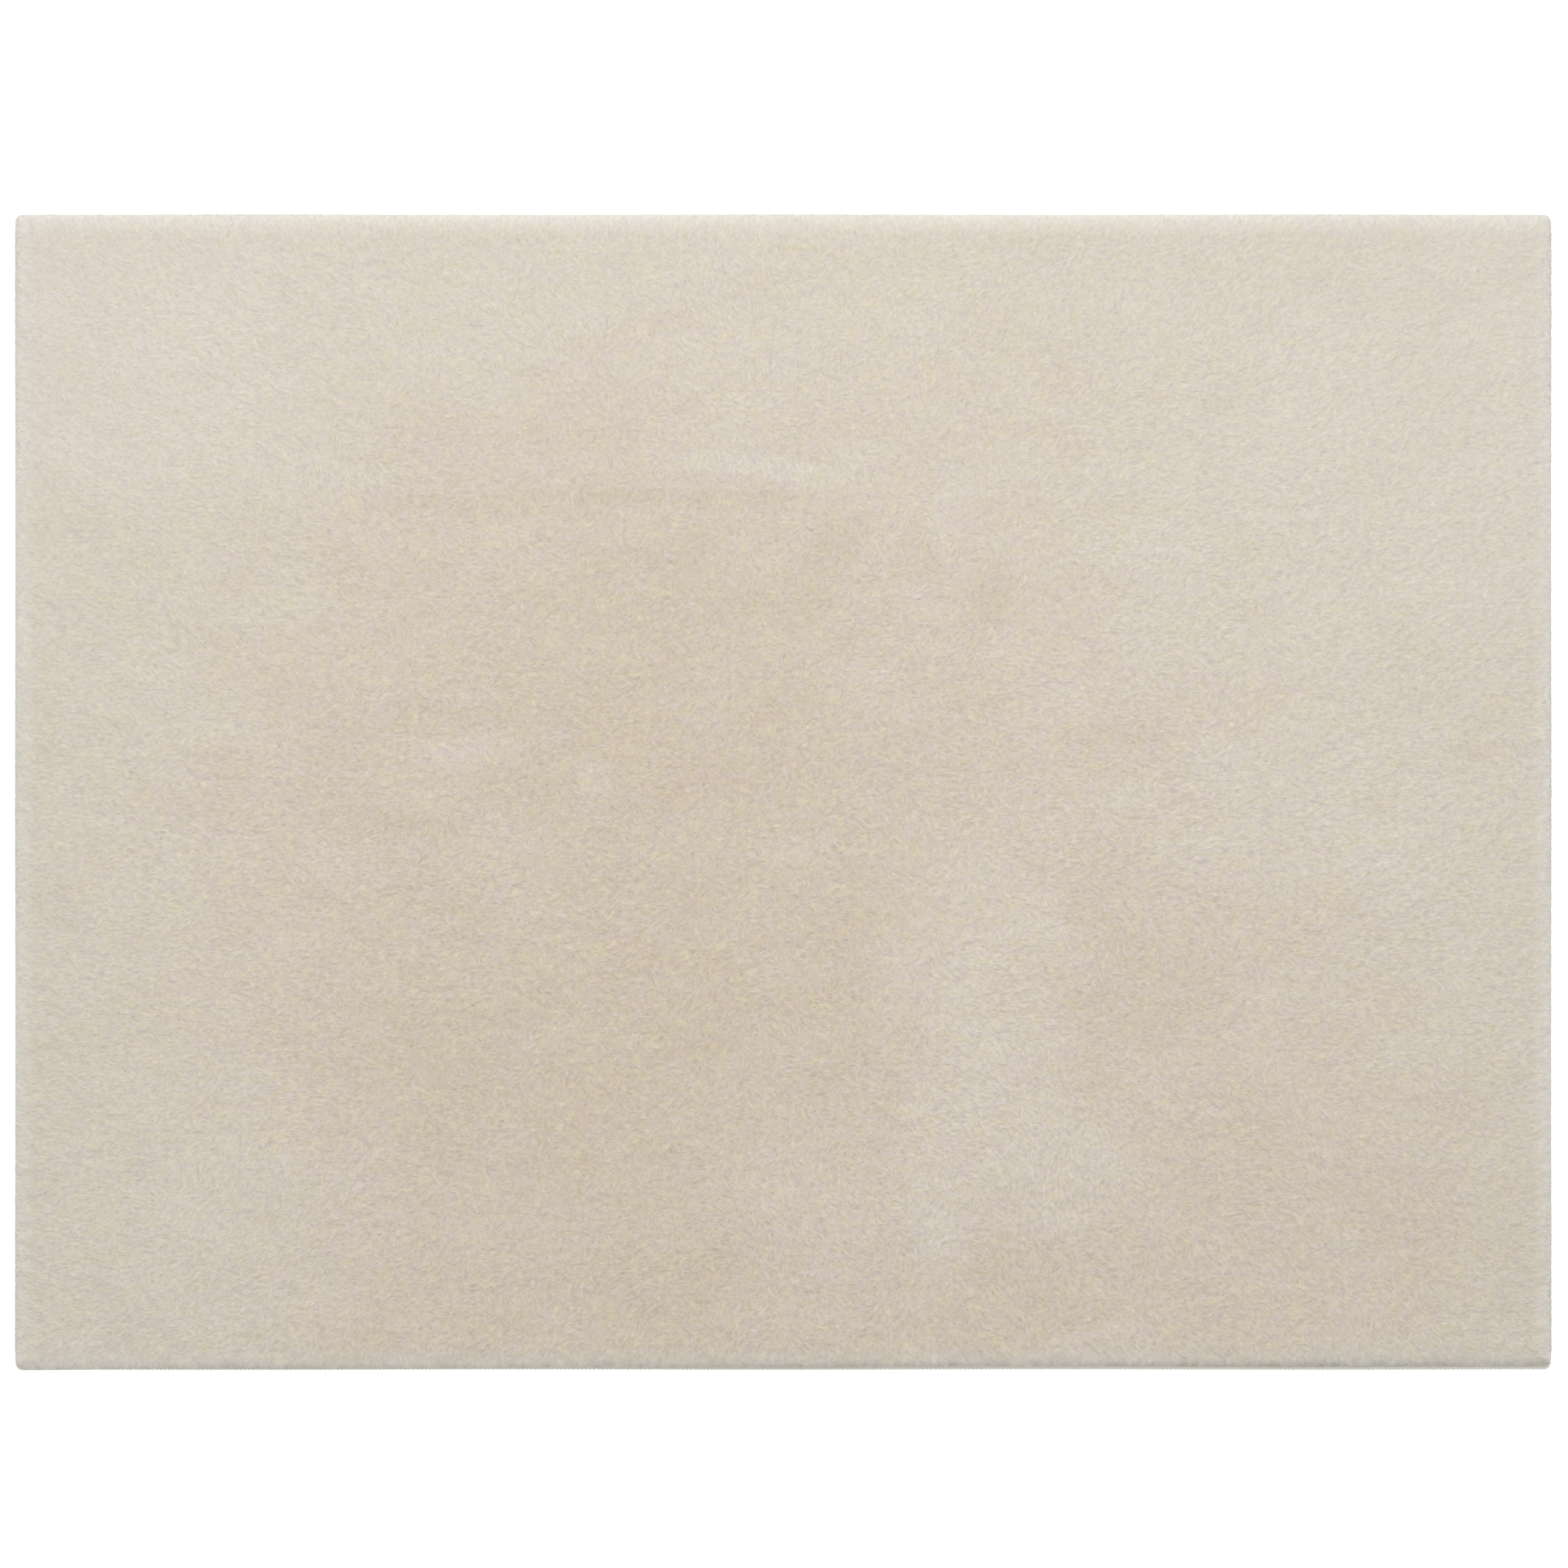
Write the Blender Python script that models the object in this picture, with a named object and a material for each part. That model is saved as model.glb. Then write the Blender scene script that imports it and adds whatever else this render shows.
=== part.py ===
"""Shag rug: a deep-pile cloth with locks at its rim, and the overlocked binding round its edge.

Metres, +Z up. The rug lies flat with its underside in the plane Z = 0. Its length runs along X,
and the edge at -Y is the front one, where the binding shows below the pile.
"""

import math
from collections import namedtuple

import bmesh
import bpy
import numpy as np
from mathutils import Vector, noise

# The whole rug, over its binding
LENGTH = 1.600
WIDTH = 1.204
CORNER_RADIUS = 0.007
JOIN_GAP = 0.0003

# The binding: thread sewn over the cut edge in a flat-bottomed roll. Its section's corners are
# shares of its width, from the outside in, and of its height
BINDING_WIDTH = 0.0042
BINDING_HEIGHT = 0.0040
BINDING_STEPS = {"long": 30, "short": 22}
BINDING_ARC_STEPS = 4
Corner = namedtuple("Corner", "across up")
BINDING_SECTION = (
    Corner(0.10, 0.00),
    Corner(0.00, 0.22),
    Corner(0.00, 0.70),
    Corner(0.22, 1.00),
    Corner(0.72, 1.00),
    Corner(1.00, 0.72),
    Corner(1.00, 0.00),
)

# The pile cloth: ground cloth and pile as one slab, seen as rings from its crown to its foot
PILE_TOP = 0.0200
CROWN_INSET = 0.030
SHOULDER_INSET = 0.0165
SHOULDER_HEIGHT = 0.0172
PILE_CORNER_RADIUS = 0.016
CROWN_CELLS = {"long": 63, "short": 48}
RIM_LOCKS = {"long": 84, "short": 64}

# A lock: a four-sided tuft whose root is one face of the wall between two rings. Its length,
# droop and sway vary along the rim in waves of the width LOCK_VARIETY
LOCK_INSET = 0.0130
LOCK_TOP = 0.0142
LOCK_BOTTOM = 0.0078
LOCK_REACH = 0.0125
LOCK_SHORTEST = 0.60
LOCK_DROOP = 0.0032
LOCK_SWAY = 0.0050
LOCK_TIP_SHARE = 0.26
LOCK_CLEARANCE = 0.0006
LOCK_VARIETY = 0.016

# Small unevenness: how far it shifts or lifts a point, and how wide its waves are
EDGE_WAVER = 0.0005
EDGE_WAVE_LENGTH = 0.55
RIM_SHIFT = 0.0008
RIM_SHIFT_WIDTH = 0.019
CROWN_SHIFT = 0.005
CROWN_SHIFT_WIDTH = 0.027
LUMP_WIDTH = 0.095
LUMP_RISE = 0.0028
TUFT_WIDTH = 0.048
TUFT_RISE = 0.0022

# Each kind of unevenness reads its own layer of the noise
LUMP_LAYER = 0.3
TUFT_LAYER = 7.7
SHIFT_LAYER = 1.9
LOCK_LAYER = 4.1

SMOOTH_BELOW = math.radians(50)

# How far the pile draws back from the front edge, by place along it
Recess = namedtuple("Recess", "x depth")
FRONT_RECESS = (
    Recess(-0.80, 0.0000),
    Recess(-0.66, 0.0015),
    Recess(-0.20, 0.0035),
    Recess(0.20, 0.0055),
    Recess(0.80, 0.0065),
)
RECESS_FADE = 0.030

# Where feet and hands have pressed or brushed the pile: half sizes, turn from X in degrees, rise
Patch = namedtuple("Patch", "x y along across turn rise")
PATCHES = (
    Patch(-0.200, 0.308, 0.260, 0.022, 2, -0.0020),
    Patch(-0.160, 0.245, 0.300, 0.055, 0, -0.0008),
    Patch(0.170, 0.265, 0.070, 0.040, 80, -0.0012),
    Patch(0.200, 0.190, 0.100, 0.050, 60, 0.0012),
    Patch(-0.325, 0.038, 0.060, 0.035, 0, 0.0013),
    Patch(-0.199, 0.013, 0.035, 0.025, 40, 0.0012),
    Patch(0.157, -0.287, 0.210, 0.080, 48, 0.0015),
    Patch(0.190, -0.120, 0.420, 0.020, 87, -0.0010),
    Patch(0.410, -0.511, 0.240, 0.060, 0, -0.0013),
    Patch(-0.266, -0.190, 0.220, 0.160, 20, -0.0010),
    Patch(0.343, 0.313, 0.040, 0.030, 45, 0.0015),
)


def clear_scene():
    """Remove whatever objects the file opened with."""
    for old in list(bpy.data.objects):
        bpy.data.objects.remove(old, do_unlink=True)


def make_material(name, colour, roughness, sheen):
    """A plain cloth finish: one colour, rough, with the pale sheen of fine fibres."""
    material = bpy.data.materials.new(name)
    material.use_nodes = True
    shader = material.node_tree.nodes["Principled BSDF"]
    shader.inputs["Base Color"].default_value = (*colour, 1.0)
    shader.inputs["Roughness"].default_value = roughness
    shader.inputs["Metallic"].default_value = 0.0
    shader.inputs["Sheen Weight"].default_value = sheen
    return material


def edge_waver(along):
    """How far the sewn edge wanders inwards at a place along a side, never outwards."""
    return EDGE_WAVER * 0.5 * (1.0 - np.cos(2.0 * math.pi * along / EDGE_WAVE_LENGTH))


def front_recess(points):
    """Draw rim points near the front edge back towards +Y, further to the right than to the left."""
    depth = np.interp(points[:, 0], [r.x for r in FRONT_RECESS], [r.depth for r in FRONT_RECESS])
    nearness = np.clip((RECESS_FADE - points[:, 1] - WIDTH / 2) / RECESS_FADE, 0.0, 1.0)
    points[:, 1] += depth * nearness
    return points


def side_stations(stations, half_run, half_out, radius):
    """Points along one side of a rounded rectangle, from the middle of one corner to the next.

    A station from 0 to 1 lies on the first half corner, 1 to 2 on the straight and 2 to 3 on
    the second half corner. Returns distances along and out from the rug's centre.
    """
    eighth_turn = math.pi / 4
    first = (1.0 - np.clip(stations, 0.0, 1.0)) * -eighth_turn
    second = np.clip(stations - 2.0, 0.0, 1.0) * eighth_turn
    turn = first + second
    straight = np.clip(stations - 1.0, 0.0, 1.0)
    along = (half_run - radius) * (2.0 * straight - 1.0) + radius * np.sin(turn)
    out = half_out - radius * (1.0 - np.cos(turn)) - edge_waver(along)
    return along, out


def rim_points(inset, height, radius, stations):
    """One ring of points round the rug, anticlockwise from its front right corner."""
    half = {"long": LENGTH / 2 - inset, "short": WIDTH / 2 - inset}
    sides = (("short", 1, 0), ("long", 0, 1), ("short", -1, 0), ("long", 0, -1))
    rings = []
    for run, out_x, out_y in sides:
        across = "long" if run == "short" else "short"
        along, out = side_stations(stations[run], half[run], half[across], radius)
        x = out * out_x - along * out_y
        y = out * out_y + along * out_x
        rings.append(np.stack([x, y, np.full_like(x, height)], axis=1))
    return np.concatenate(rings)


def lock_stations(counts):
    """One lock in each half corner and the rest evenly along the straight, for each side."""
    return {run: np.append(0.0, np.linspace(1.0, 2.0, count - 1)) for run, count in counts.items()}


def binding_stations():
    """Close points round the corners and wide ones along the straights."""
    arc = np.linspace(0.0, 1.0, BINDING_ARC_STEPS + 1)[:-1]
    stations = {}
    for run, count in BINDING_STEPS.items():
        straight = np.linspace(1.0, 2.0, count + 1)
        stations[run] = np.concatenate([arc, straight, 2.0 + arc[1:]])
    return stations


def soft_noise(x, y, width, layer):
    """One smooth random number between -1 and 1, whose waves are about as long as width."""
    return noise.noise(Vector((x / width, y / width, layer)))


def soft_shift(x, y, width, layer):
    """Three smooth random numbers between -1 and 1, as a vector."""
    return noise.noise_vector(Vector((x / width, y / width, layer)))


def unsettle(points, height):
    """Shift a ring's points a little, so that the pile's side isn't ruled."""
    shifts = [soft_shift(x, y, RIM_SHIFT_WIDTH, height / RIM_SHIFT_WIDTH) for x, y, _ in points]
    return points + RIM_SHIFT * np.array(shifts)


def add_ring(bm, points):
    """A closed loop of edges through the points."""
    verts = [bm.verts.new(point) for point in points]
    edges = [bm.edges.new((a, b)) for a, b in zip(verts, verts[1:] + verts[:1])]
    return verts, edges


def bridge(bm, first, second):
    """Faces between two closed loops of edges."""
    return bmesh.ops.bridge_loops(bm, edges=first + second)["faces"]


def patch_rise(x, y):
    """Sum of the pressed and brushed patches, each a soft oval bump or hollow."""
    rise = 0.0
    for patch in PATCHES:
        turn = math.radians(patch.turn)
        dx = x - patch.x
        dy = y - patch.y
        u = (dx * math.cos(turn) + dy * math.sin(turn)) / patch.along
        v = (dy * math.cos(turn) - dx * math.sin(turn)) / patch.across
        rise += patch.rise * math.exp(-(u * u + v * v))
    return rise


def pile_height(x, y):
    """Height of the pile: its even top, lumps a hand wide, tufts a finger wide and the patches."""
    lumps = LUMP_RISE * soft_noise(x, y, LUMP_WIDTH, LUMP_LAYER)
    tufts = TUFT_RISE * soft_noise(x, y, TUFT_WIDTH, TUFT_LAYER)
    return PILE_TOP + lumps + tufts + patch_rise(x, y)


def add_crown(bm):
    """The top of the pile as a grid whose inner points are shifted and lifted unevenly."""
    grid = bmesh.ops.create_grid(
        bm, x_segments=CROWN_CELLS["long"], y_segments=CROWN_CELLS["short"], size=0.5
    )
    half_x = LENGTH / 2 - CROWN_INSET
    half_y = WIDTH / 2 - CROWN_INSET
    border = [edge for edge in bm.edges if edge.is_boundary]
    for vert in grid["verts"]:
        x = vert.co.x * 2.0 * half_x
        y = vert.co.y * 2.0 * half_y
        if not vert.is_boundary:
            shift = soft_shift(x, y, CROWN_SHIFT_WIDTH, SHIFT_LAYER)
            x += CROWN_SHIFT * shift.x
            y += CROWN_SHIFT * shift.y
        vert.co = (x, y, pile_height(x, y))
    return border


def add_wall(bm, crown_border):
    """Shoulder, lock band and foot: rings bridged in turn. Returns the lock band's faces."""
    stations = lock_stations(RIM_LOCKS)
    pile_rings = []
    for inset, height in (
        (SHOULDER_INSET, SHOULDER_HEIGHT),
        (LOCK_INSET, LOCK_TOP),
        (LOCK_INSET, LOCK_BOTTOM),
    ):
        points = front_recess(rim_points(inset, height, PILE_CORNER_RADIUS, stations))
        pile_rings.append(add_ring(bm, unsettle(points, height)))
    shoulder, top, bottom = pile_rings
    foot_inset = BINDING_WIDTH + JOIN_GAP
    foot = add_ring(bm, rim_points(foot_inset, 0.0, CORNER_RADIUS - foot_inset, stations))
    bridge(bm, crown_border, shoulder[1])
    bridge(bm, shoulder[1], top[1])
    lock_faces = bridge(bm, top[1], bottom[1])
    bridge(bm, bottom[1], foot[1])
    underside = bm.faces.new(foot[0])
    bmesh.ops.poke(bm, faces=[underside])
    return lock_faces


def grow_locks(bm, lock_faces):
    """Pull each face of the lock band out into a drooping tuft with a small blunt tip."""
    tips = bmesh.ops.extrude_discrete_faces(bm, faces=lock_faces)["faces"]
    lowest_tip = BINDING_HEIGHT + LOCK_CLEARANCE
    for tip in tips:
        root = tip.calc_center_median()
        out = tip.normal.copy()
        out.z = 0.0
        out.normalize()
        along = Vector((-out.y, out.x, 0.0))
        variety = soft_shift(root.x, root.y, LOCK_VARIETY, LOCK_LAYER)
        length_share = 1.0 - (1.0 - LOCK_SHORTEST) * abs(variety.x)
        middle = root + out * LOCK_REACH * length_share + along * LOCK_SWAY * variety.y
        middle.z -= LOCK_DROOP * (1.0 + variety.z)
        for vert in tip.verts:
            vert.co = middle + (vert.co - root) * LOCK_TIP_SHARE
            vert.co.z = max(vert.co.z, lowest_tip)


def finish(bm, name, collection, material):
    """Close up the mesh, turn its faces outwards and hang it on a named object."""
    bmesh.ops.triangulate(bm, faces=[face for face in bm.faces if len(face.verts) > 3])
    bmesh.ops.recalc_face_normals(bm, faces=bm.faces)
    mesh = bpy.data.meshes.new(name)
    bm.to_mesh(mesh)
    bm.free()
    mesh.shade_smooth()
    mesh.set_sharp_from_angle(angle=SMOOTH_BELOW)
    mesh.materials.append(material)
    part = bpy.data.objects.new(name, mesh)
    collection.objects.link(part)
    return part


def make_pile_cloth(collection):
    """The rug's one cloth: a flat underside, a lumpy pile on top and locks all round its rim."""
    bm = bmesh.new()
    crown_border = add_crown(bm)
    lock_faces = add_wall(bm, crown_border)
    bmesh.ops.recalc_face_normals(bm, faces=bm.faces)
    grow_locks(bm, lock_faces)
    cream_fur = make_material("cream_fur", (0.67, 0.60, 0.50), 0.95, 0.3)
    return finish(bm, "pile_cloth", collection, cream_fur)


def make_edge_binding(collection):
    """The sewn edge: one roll of thread, flat below and rounded above, all round the rug."""
    stations = binding_stations()
    bm = bmesh.new()
    loops = []
    for corner in BINDING_SECTION:
        inset = corner.across * BINDING_WIDTH
        points = rim_points(inset, corner.up * BINDING_HEIGHT, CORNER_RADIUS - inset, stations)
        loops.append(add_ring(bm, points)[1])
    for first, second in zip(loops, loops[1:] + loops[:1]):
        bridge(bm, first, second)
    pale_thread = make_material("pale_thread", (0.72, 0.69, 0.63), 0.8, 0.1)
    return finish(bm, "edge_binding", collection, pale_thread)


clear_scene()
rug = bpy.data.collections.new("shag_rug")
bpy.context.scene.collection.children.link(rug)
make_pile_cloth(rug)
make_edge_binding(rug)
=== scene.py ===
"""The shag rug as it looks: knitted ground, deep cream pile brushed by hand, overlocked edge.

Metres, +Z up. The rug lies flat on Z = 0, its length along X, its front edge at -Y.
"""

import math

import bpy
import numpy as np
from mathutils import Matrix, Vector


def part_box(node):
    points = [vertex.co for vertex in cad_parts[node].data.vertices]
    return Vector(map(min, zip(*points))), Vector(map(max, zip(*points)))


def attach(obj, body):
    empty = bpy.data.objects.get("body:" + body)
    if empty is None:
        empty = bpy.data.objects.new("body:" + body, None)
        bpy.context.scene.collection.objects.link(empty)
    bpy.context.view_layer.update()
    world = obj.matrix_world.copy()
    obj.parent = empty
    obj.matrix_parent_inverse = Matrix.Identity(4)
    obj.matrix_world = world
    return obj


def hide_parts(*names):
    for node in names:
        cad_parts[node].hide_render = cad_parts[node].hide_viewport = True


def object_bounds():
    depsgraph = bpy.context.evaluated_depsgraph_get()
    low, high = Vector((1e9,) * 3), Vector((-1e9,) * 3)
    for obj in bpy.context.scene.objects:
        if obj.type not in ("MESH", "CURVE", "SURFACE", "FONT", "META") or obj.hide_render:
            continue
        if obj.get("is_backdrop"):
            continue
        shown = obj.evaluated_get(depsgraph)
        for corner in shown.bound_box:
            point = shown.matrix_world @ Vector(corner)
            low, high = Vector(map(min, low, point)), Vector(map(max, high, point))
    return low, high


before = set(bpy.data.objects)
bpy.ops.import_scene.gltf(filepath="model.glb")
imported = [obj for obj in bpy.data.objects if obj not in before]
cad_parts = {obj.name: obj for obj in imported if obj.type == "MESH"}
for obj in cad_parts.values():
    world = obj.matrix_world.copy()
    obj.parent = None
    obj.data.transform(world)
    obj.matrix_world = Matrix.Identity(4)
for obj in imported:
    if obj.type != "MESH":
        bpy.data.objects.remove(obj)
cad_low, cad_high = (np.array(corner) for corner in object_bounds())


# ------------------------------------------------------------------------------ ground cloth
# The knitted polyester ground that holds the pile. It is one cut rectangle with turned corners,
# lying flat on the floor, and its edge runs into the binding. Only its underside ever shows.

GROUND_INSET = 0.0014
GROUND_THICKNESS = 0.0022
GROUND_LIFT = 0.0001
GROUND_STATIONS = 640
GROUND_RINGS = 3
CORNER_RADIUS = 0.007
EDGE_WAVER = 0.0005
EDGE_WAVE_LENGTH = 0.55
GROUND_COLOUR = (0.56, 0.52, 0.45)
GROUND_YARN_COLOUR = (0.66, 0.62, 0.55)
# Width and height of a knitted loop
GROUND_LOOP = (0.0016, 0.00224)

half_length, half_width = cad_high[:2]


def sewn_edge(distance, inset):
    """Points on a rounded rectangle, inset from the rug's outline, and their outward directions.

    The point is a corner centre plus radius times (cos turn, sin turn). Along a straight the
    centre moves and the turn stands still; round a corner it is the other way about. The edge
    wavers inwards with one less the cosine of the way along it, as sewn. distance is a share
    of the way round, from the front end of the right side, anticlockwise.
    """
    cx, cy = (half - inset - CORNER_RADIUS for half in (half_length, half_width))
    arc = CORNER_RADIUS * math.pi / 2
    runs = np.cumsum([0, 2 * cy, arc, 2 * cx, arc, 2 * cy, arc, 2 * cx, arc])
    place = np.mod(distance, 1.0) * runs[-1]
    turn = np.radians(np.interp(place, runs, [0, 0, 90, 90, 180, 180, 270, 270, 360]))
    x = np.interp(place, runs, [cx, cx, cx, -cx, -cx, -cx, -cx, cx, cx])
    y = np.interp(place, runs, [-cy, cy, cy, cy, cy, -cy, -cy, -cy, -cy])
    out = np.stack([np.cos(turn), np.sin(turn)], axis=-1)
    waver = EDGE_WAVER / 2 * (1 - np.cos(2 * math.pi * np.stack([y, x], -1) / EDGE_WAVE_LENGTH))
    return np.stack([x, y], axis=-1) + (CORNER_RADIUS - waver) * out, out


def grid_quads(rows, columns, around=False):
    """Corner indices of the faces of a rows by columns grid; around joins last column to first."""
    r = np.arange(rows - 1)[:, None] * columns
    c = np.arange(columns if around else columns - 1)[None, :]
    n = (c + 1) % columns
    return np.stack([r + c, r + n, r + n + columns, r + c + columns], axis=-1).reshape(-1, 4)


def make_mesh(name, points, *faces):
    """A mesh from whole arrays: its points, and the corner indices of its faces, in one array
    for each run of faces with the same number of corners."""
    sizes = np.concatenate([np.full(len(run), run.shape[1]) for run in faces])
    corners = np.concatenate([run.ravel() for run in faces])
    mesh = bpy.data.meshes.new(name)
    mesh.vertices.add(len(points))
    mesh.vertices.foreach_set("co", np.asarray(points, np.float32).ravel())
    mesh.loops.add(len(corners))
    mesh.loops.foreach_set("vertex_index", corners.astype(np.int32))
    mesh.polygons.add(len(sizes))
    mesh.polygons.foreach_set("loop_start", np.cumsum(sizes) - sizes)
    mesh.update(calc_edges=True)
    mesh.validate()
    mesh.shade_smooth()
    return mesh


def add_object(name, data):
    """Puts new data in the scene as an object."""
    thing = bpy.data.objects.new(name, data)
    bpy.context.scene.collection.objects.link(thing)
    return thing


def make_piece(name, mesh, material):
    """Puts a finished mesh in the scene as a piece of the rug, which is one rigid body."""
    mesh.materials.append(material)
    piece = add_object(name, mesh)
    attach(piece, "root")
    return piece


def new_group(name, inputs, output):
    """A shader node group with inputs for numbers, colours (a tuple as default) and a Vector,
    and one output. Returns its tree, its input sockets and its output node."""
    tree = bpy.data.node_groups.new(name, "ShaderNodeTree")
    for label, value in inputs.items():
        kind = "Color" if isinstance(value, tuple) else "Float"
        if label == "Vector":
            kind = "Vector"
        kind = "NodeSocket" + kind
        socket = tree.interface.new_socket(label, in_out="INPUT", socket_type=kind)
        if label != "Vector":
            socket.default_value = (*value, 1.0) if isinstance(value, tuple) else value
    kind = "NodeSocketColor" if output == "Colour" else "NodeSocketFloat"
    tree.interface.new_socket(output, in_out="OUTPUT", socket_type=kind)
    sources = tree.nodes.new("NodeGroupInput").outputs
    return tree, sources, tree.nodes.new("NodeGroupOutput")


def feed(tree, node, inputs):
    """Feeds a node's inputs with sockets or plain values. An input goes by its number, or by
    its name with _ for a space."""
    for label, value in inputs.items():
        socket = node.inputs[label.replace("_", " ") if isinstance(label, str) else label]
        if isinstance(value, bpy.types.NodeSocket):
            tree.links.new(value, socket)
        elif socket.type == "RGBA":
            socket.default_value = (*value, 1.0)
        else:
            socket.default_value = value


def add_node(tree, kind, **inputs):
    """A shader node of a kind, with its inputs fed."""
    node = tree.nodes.new("ShaderNode" + kind)
    feed(tree, node, inputs)
    return node


def add_group(tree, group, **inputs):
    """A node of a group, with its inputs fed. Returns its output."""
    node = tree.nodes.new("ShaderNodeGroup")
    node.node_tree = group
    feed(tree, node, inputs)
    return node.outputs[0]


def combine(tree, operation, first, second):
    """A Math node fed by sockets or plain numbers. Returns its output."""
    node = tree.nodes.new("ShaderNodeMath")
    node.operation = operation
    feed(tree, node, {0: first, 1: second})
    return node.outputs[0]


def mix(tree, factor, first, second):
    """A colour Mix node fed by sockets or plain values. Returns its output."""
    node = tree.nodes.new("ShaderNodeMix")
    node.data_type = "RGBA"
    feed(tree, node, {0: factor, 6: first, 7: second})
    return node.outputs[2]


def new_material(name, roughness, sheen, specular):
    """A Principled material with its uniform numbers set on the shader's own sockets. Returns
    it, its tree, its shader and the Object coordinates."""
    material = bpy.data.materials.new(name)
    material.use_nodes = True
    tree = material.node_tree
    shader = tree.nodes["Principled BSDF"]
    shader.inputs["Roughness"].default_value = roughness
    shader.inputs["Sheen Weight"].default_value = sheen
    shader.inputs["Sheen Roughness"].default_value = 0.5
    shader.inputs["Specular IOR Level"].default_value = specular
    return material, tree, shader, add_node(tree, "TexCoord").outputs["Object"]


def dress(tree, shader, colour, height, strength, distance):
    """Gives a shader its base colour, and a bump of the height's strength and distance."""
    bump = add_node(tree, "Bump", Height=height, Strength=strength, Distance=distance)
    feed(tree, shader, {"Base Color": colour, "Normal": bump.outputs["Normal"]})


def fibre_fuzz_group():
    """Fine fibre noise: a mask from -1 to 1, which is twice the noise less a half."""
    defaults = {"Vector": 0.0, "Scale": 900.0, "Detail": 2.0}
    tree, inputs, result = new_group("fibre_fuzz", defaults, "Mask")
    noise = add_node(tree, "TexNoise", **{label: inputs[label] for label in defaults})
    centred = combine(tree, "SUBTRACT", noise.outputs[0], 0.5)
    feed(tree, result, {"Mask": combine(tree, "MULTIPLY", centred, 2.0)})
    return tree


fibre_fuzz = fibre_fuzz_group()


def knit_material():
    """Warp-knit underside: rows of small upright loops from two crossed waves, with fuzz."""
    material, tree, shader, place = new_material(
        "knitted_ground", roughness=0.9, sheen=0.15, specular=0.2
    )
    waves = []
    for direction, wavelength in zip("XY", GROUND_LOOP):
        scale = 1.0 / (wavelength * math.pi)
        wave = add_node(tree, "TexWave", Vector=place, Scale=scale, Distortion=0.6, Detail=1.0)
        wave.bands_direction = direction
        waves.append(wave.outputs["Fac"])
    fuzz = add_group(tree, fibre_fuzz, Vector=place, Scale=1500.0)
    loops = combine(tree, "MULTIPLY", *waves)
    relief = combine(tree, "ADD", loops, combine(tree, "MULTIPLY", fuzz, 0.25))
    colour = mix(tree, relief, GROUND_COLOUR, GROUND_YARN_COLOUR)
    dress(tree, shader, colour, relief, strength=0.6, distance=0.0004)
    return material


def ground_mesh():
    """Rings of the sewn edge, below from the middle outwards and above back inwards, with a fan
    at each end. Ring point = edge point times a share, which goes by even steps."""
    n = np.arange(GROUND_STATIONS)
    after = (n + 1) % GROUND_STATIONS
    edge, _ = sewn_edge(n / GROUND_STATIONS, GROUND_INSET)
    inwards = np.linspace(1.0, 0.0, GROUND_RINGS + 1)[:-1]
    shares = np.concatenate([inwards[::-1], inwards])
    low, high = GROUND_LIFT, GROUND_LIFT + GROUND_THICKNESS
    level = np.repeat([low, high], GROUND_RINGS * GROUND_STATIONS)
    flat = (shares[:, None, None] * edge).reshape(-1, 2)
    points = np.concatenate([np.column_stack([flat, level]), [[0, 0, low], [0, 0, high]]])
    middle = np.full_like(n, len(flat))
    top = len(flat) - GROUND_STATIONS
    quads = grid_quads(len(shares), GROUND_STATIONS, around=True)
    fan_below = np.stack([middle, after, n], axis=-1)
    fan_above = np.stack([middle + 1, top + n, top + after], axis=-1)
    return make_mesh("ground_cloth", points, quads, fan_below, fan_above)


ground_cloth = make_piece("ground_cloth", ground_mesh(), knit_material())


# ------------------------------------------------------------------------------ pile
# Polyester plush about 18 mm deep. It stands up out of the ground cloth in fine strands, which
# cling together in locks and were brushed and pressed in patches. Below the tips it is a dense
# bed, which is built as three closed parts side by side.

PILE_CLOTH_NODE = "pile_cloth"
CROWN_CELL = 0.008
BED_FOOT = GROUND_LIFT + GROUND_THICKNESS + 0.0002
BED_ROLL = 0.026
BED_CELL = (0.0042, 0.0023)
BED_PARTS = 3
BED_SKIRT = ((0.0002, 0.66), (0.0008, 0.32), (0.0020, 0.0))
SKIRT_SHADE = 0.25
# Lumps of the pile: strength, width, reach along the lean and seed
RELIEF_FINE = (0.00045, 0.0030, 0.0030, 61)
RELIEF_BROAD = (0.00040, 0.0080, 0.0060, 62)
RELIEF_EDGE = 0.0030
RIM_LUMPS = 1.2
RIM_LUMPS_INSET = 0.008
RIM_LUMPS_WIDTH = 0.006
EDGE_ROLL = 0.030
EDGE_ROLL_POWER = 2.3
RIM_HEIGHT = 0.0085
RIM_POWERS = (2.5, 9.0)
CROWN_MARGIN = 4
SLOPE_STEP = 0.0005
LATTICE = 256

# Where the pile draws back from the front edge: place along X and depth
FRONT_RECESS_X = (-0.80, -0.66, -0.20, 0.20, 0.80)
FRONT_RECESS_DEPTH = (0.0000, 0.0013, 0.0030, 0.0046, 0.0056)
RECESS_FADE = 0.030

# Painted light across the brushed nap: how much paler the far and near sides, the two ends and the
# right end are than the middle
PAINTED_LIGHT_RISE = (0.22, 0.29, 0.17)
TONE_MIDDLE = -0.25
# Painted light: the pale grey where the pile's lean shows its tips to the light, at the ends and
# the far side
LIGHT_CAST = 0.13
LIGHT_CAST_SKEW = 0.15

# Noises of the nap's painted light and shade, of the tint and of the front tufts' painted shade:
# strength, width, times narrower across, seed
NAP_NOISES = (
    (0.14, 0.17, 1, 11),
    (0.25, 0.055, 1.5, 12),
    (0.21, 0.034, 2.6, 13),
    (0.10, 0.016, 2, 14),
)
TINT_NOISES = ((0.74, 0.0056, 1.3, 37), (0.12, 0.0105, 1.3, 38))
TUFT_NOISES = ((0.35, 0.0060, 0.4, 39), (0.35, 0.0024, 0.3, 40))
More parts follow.
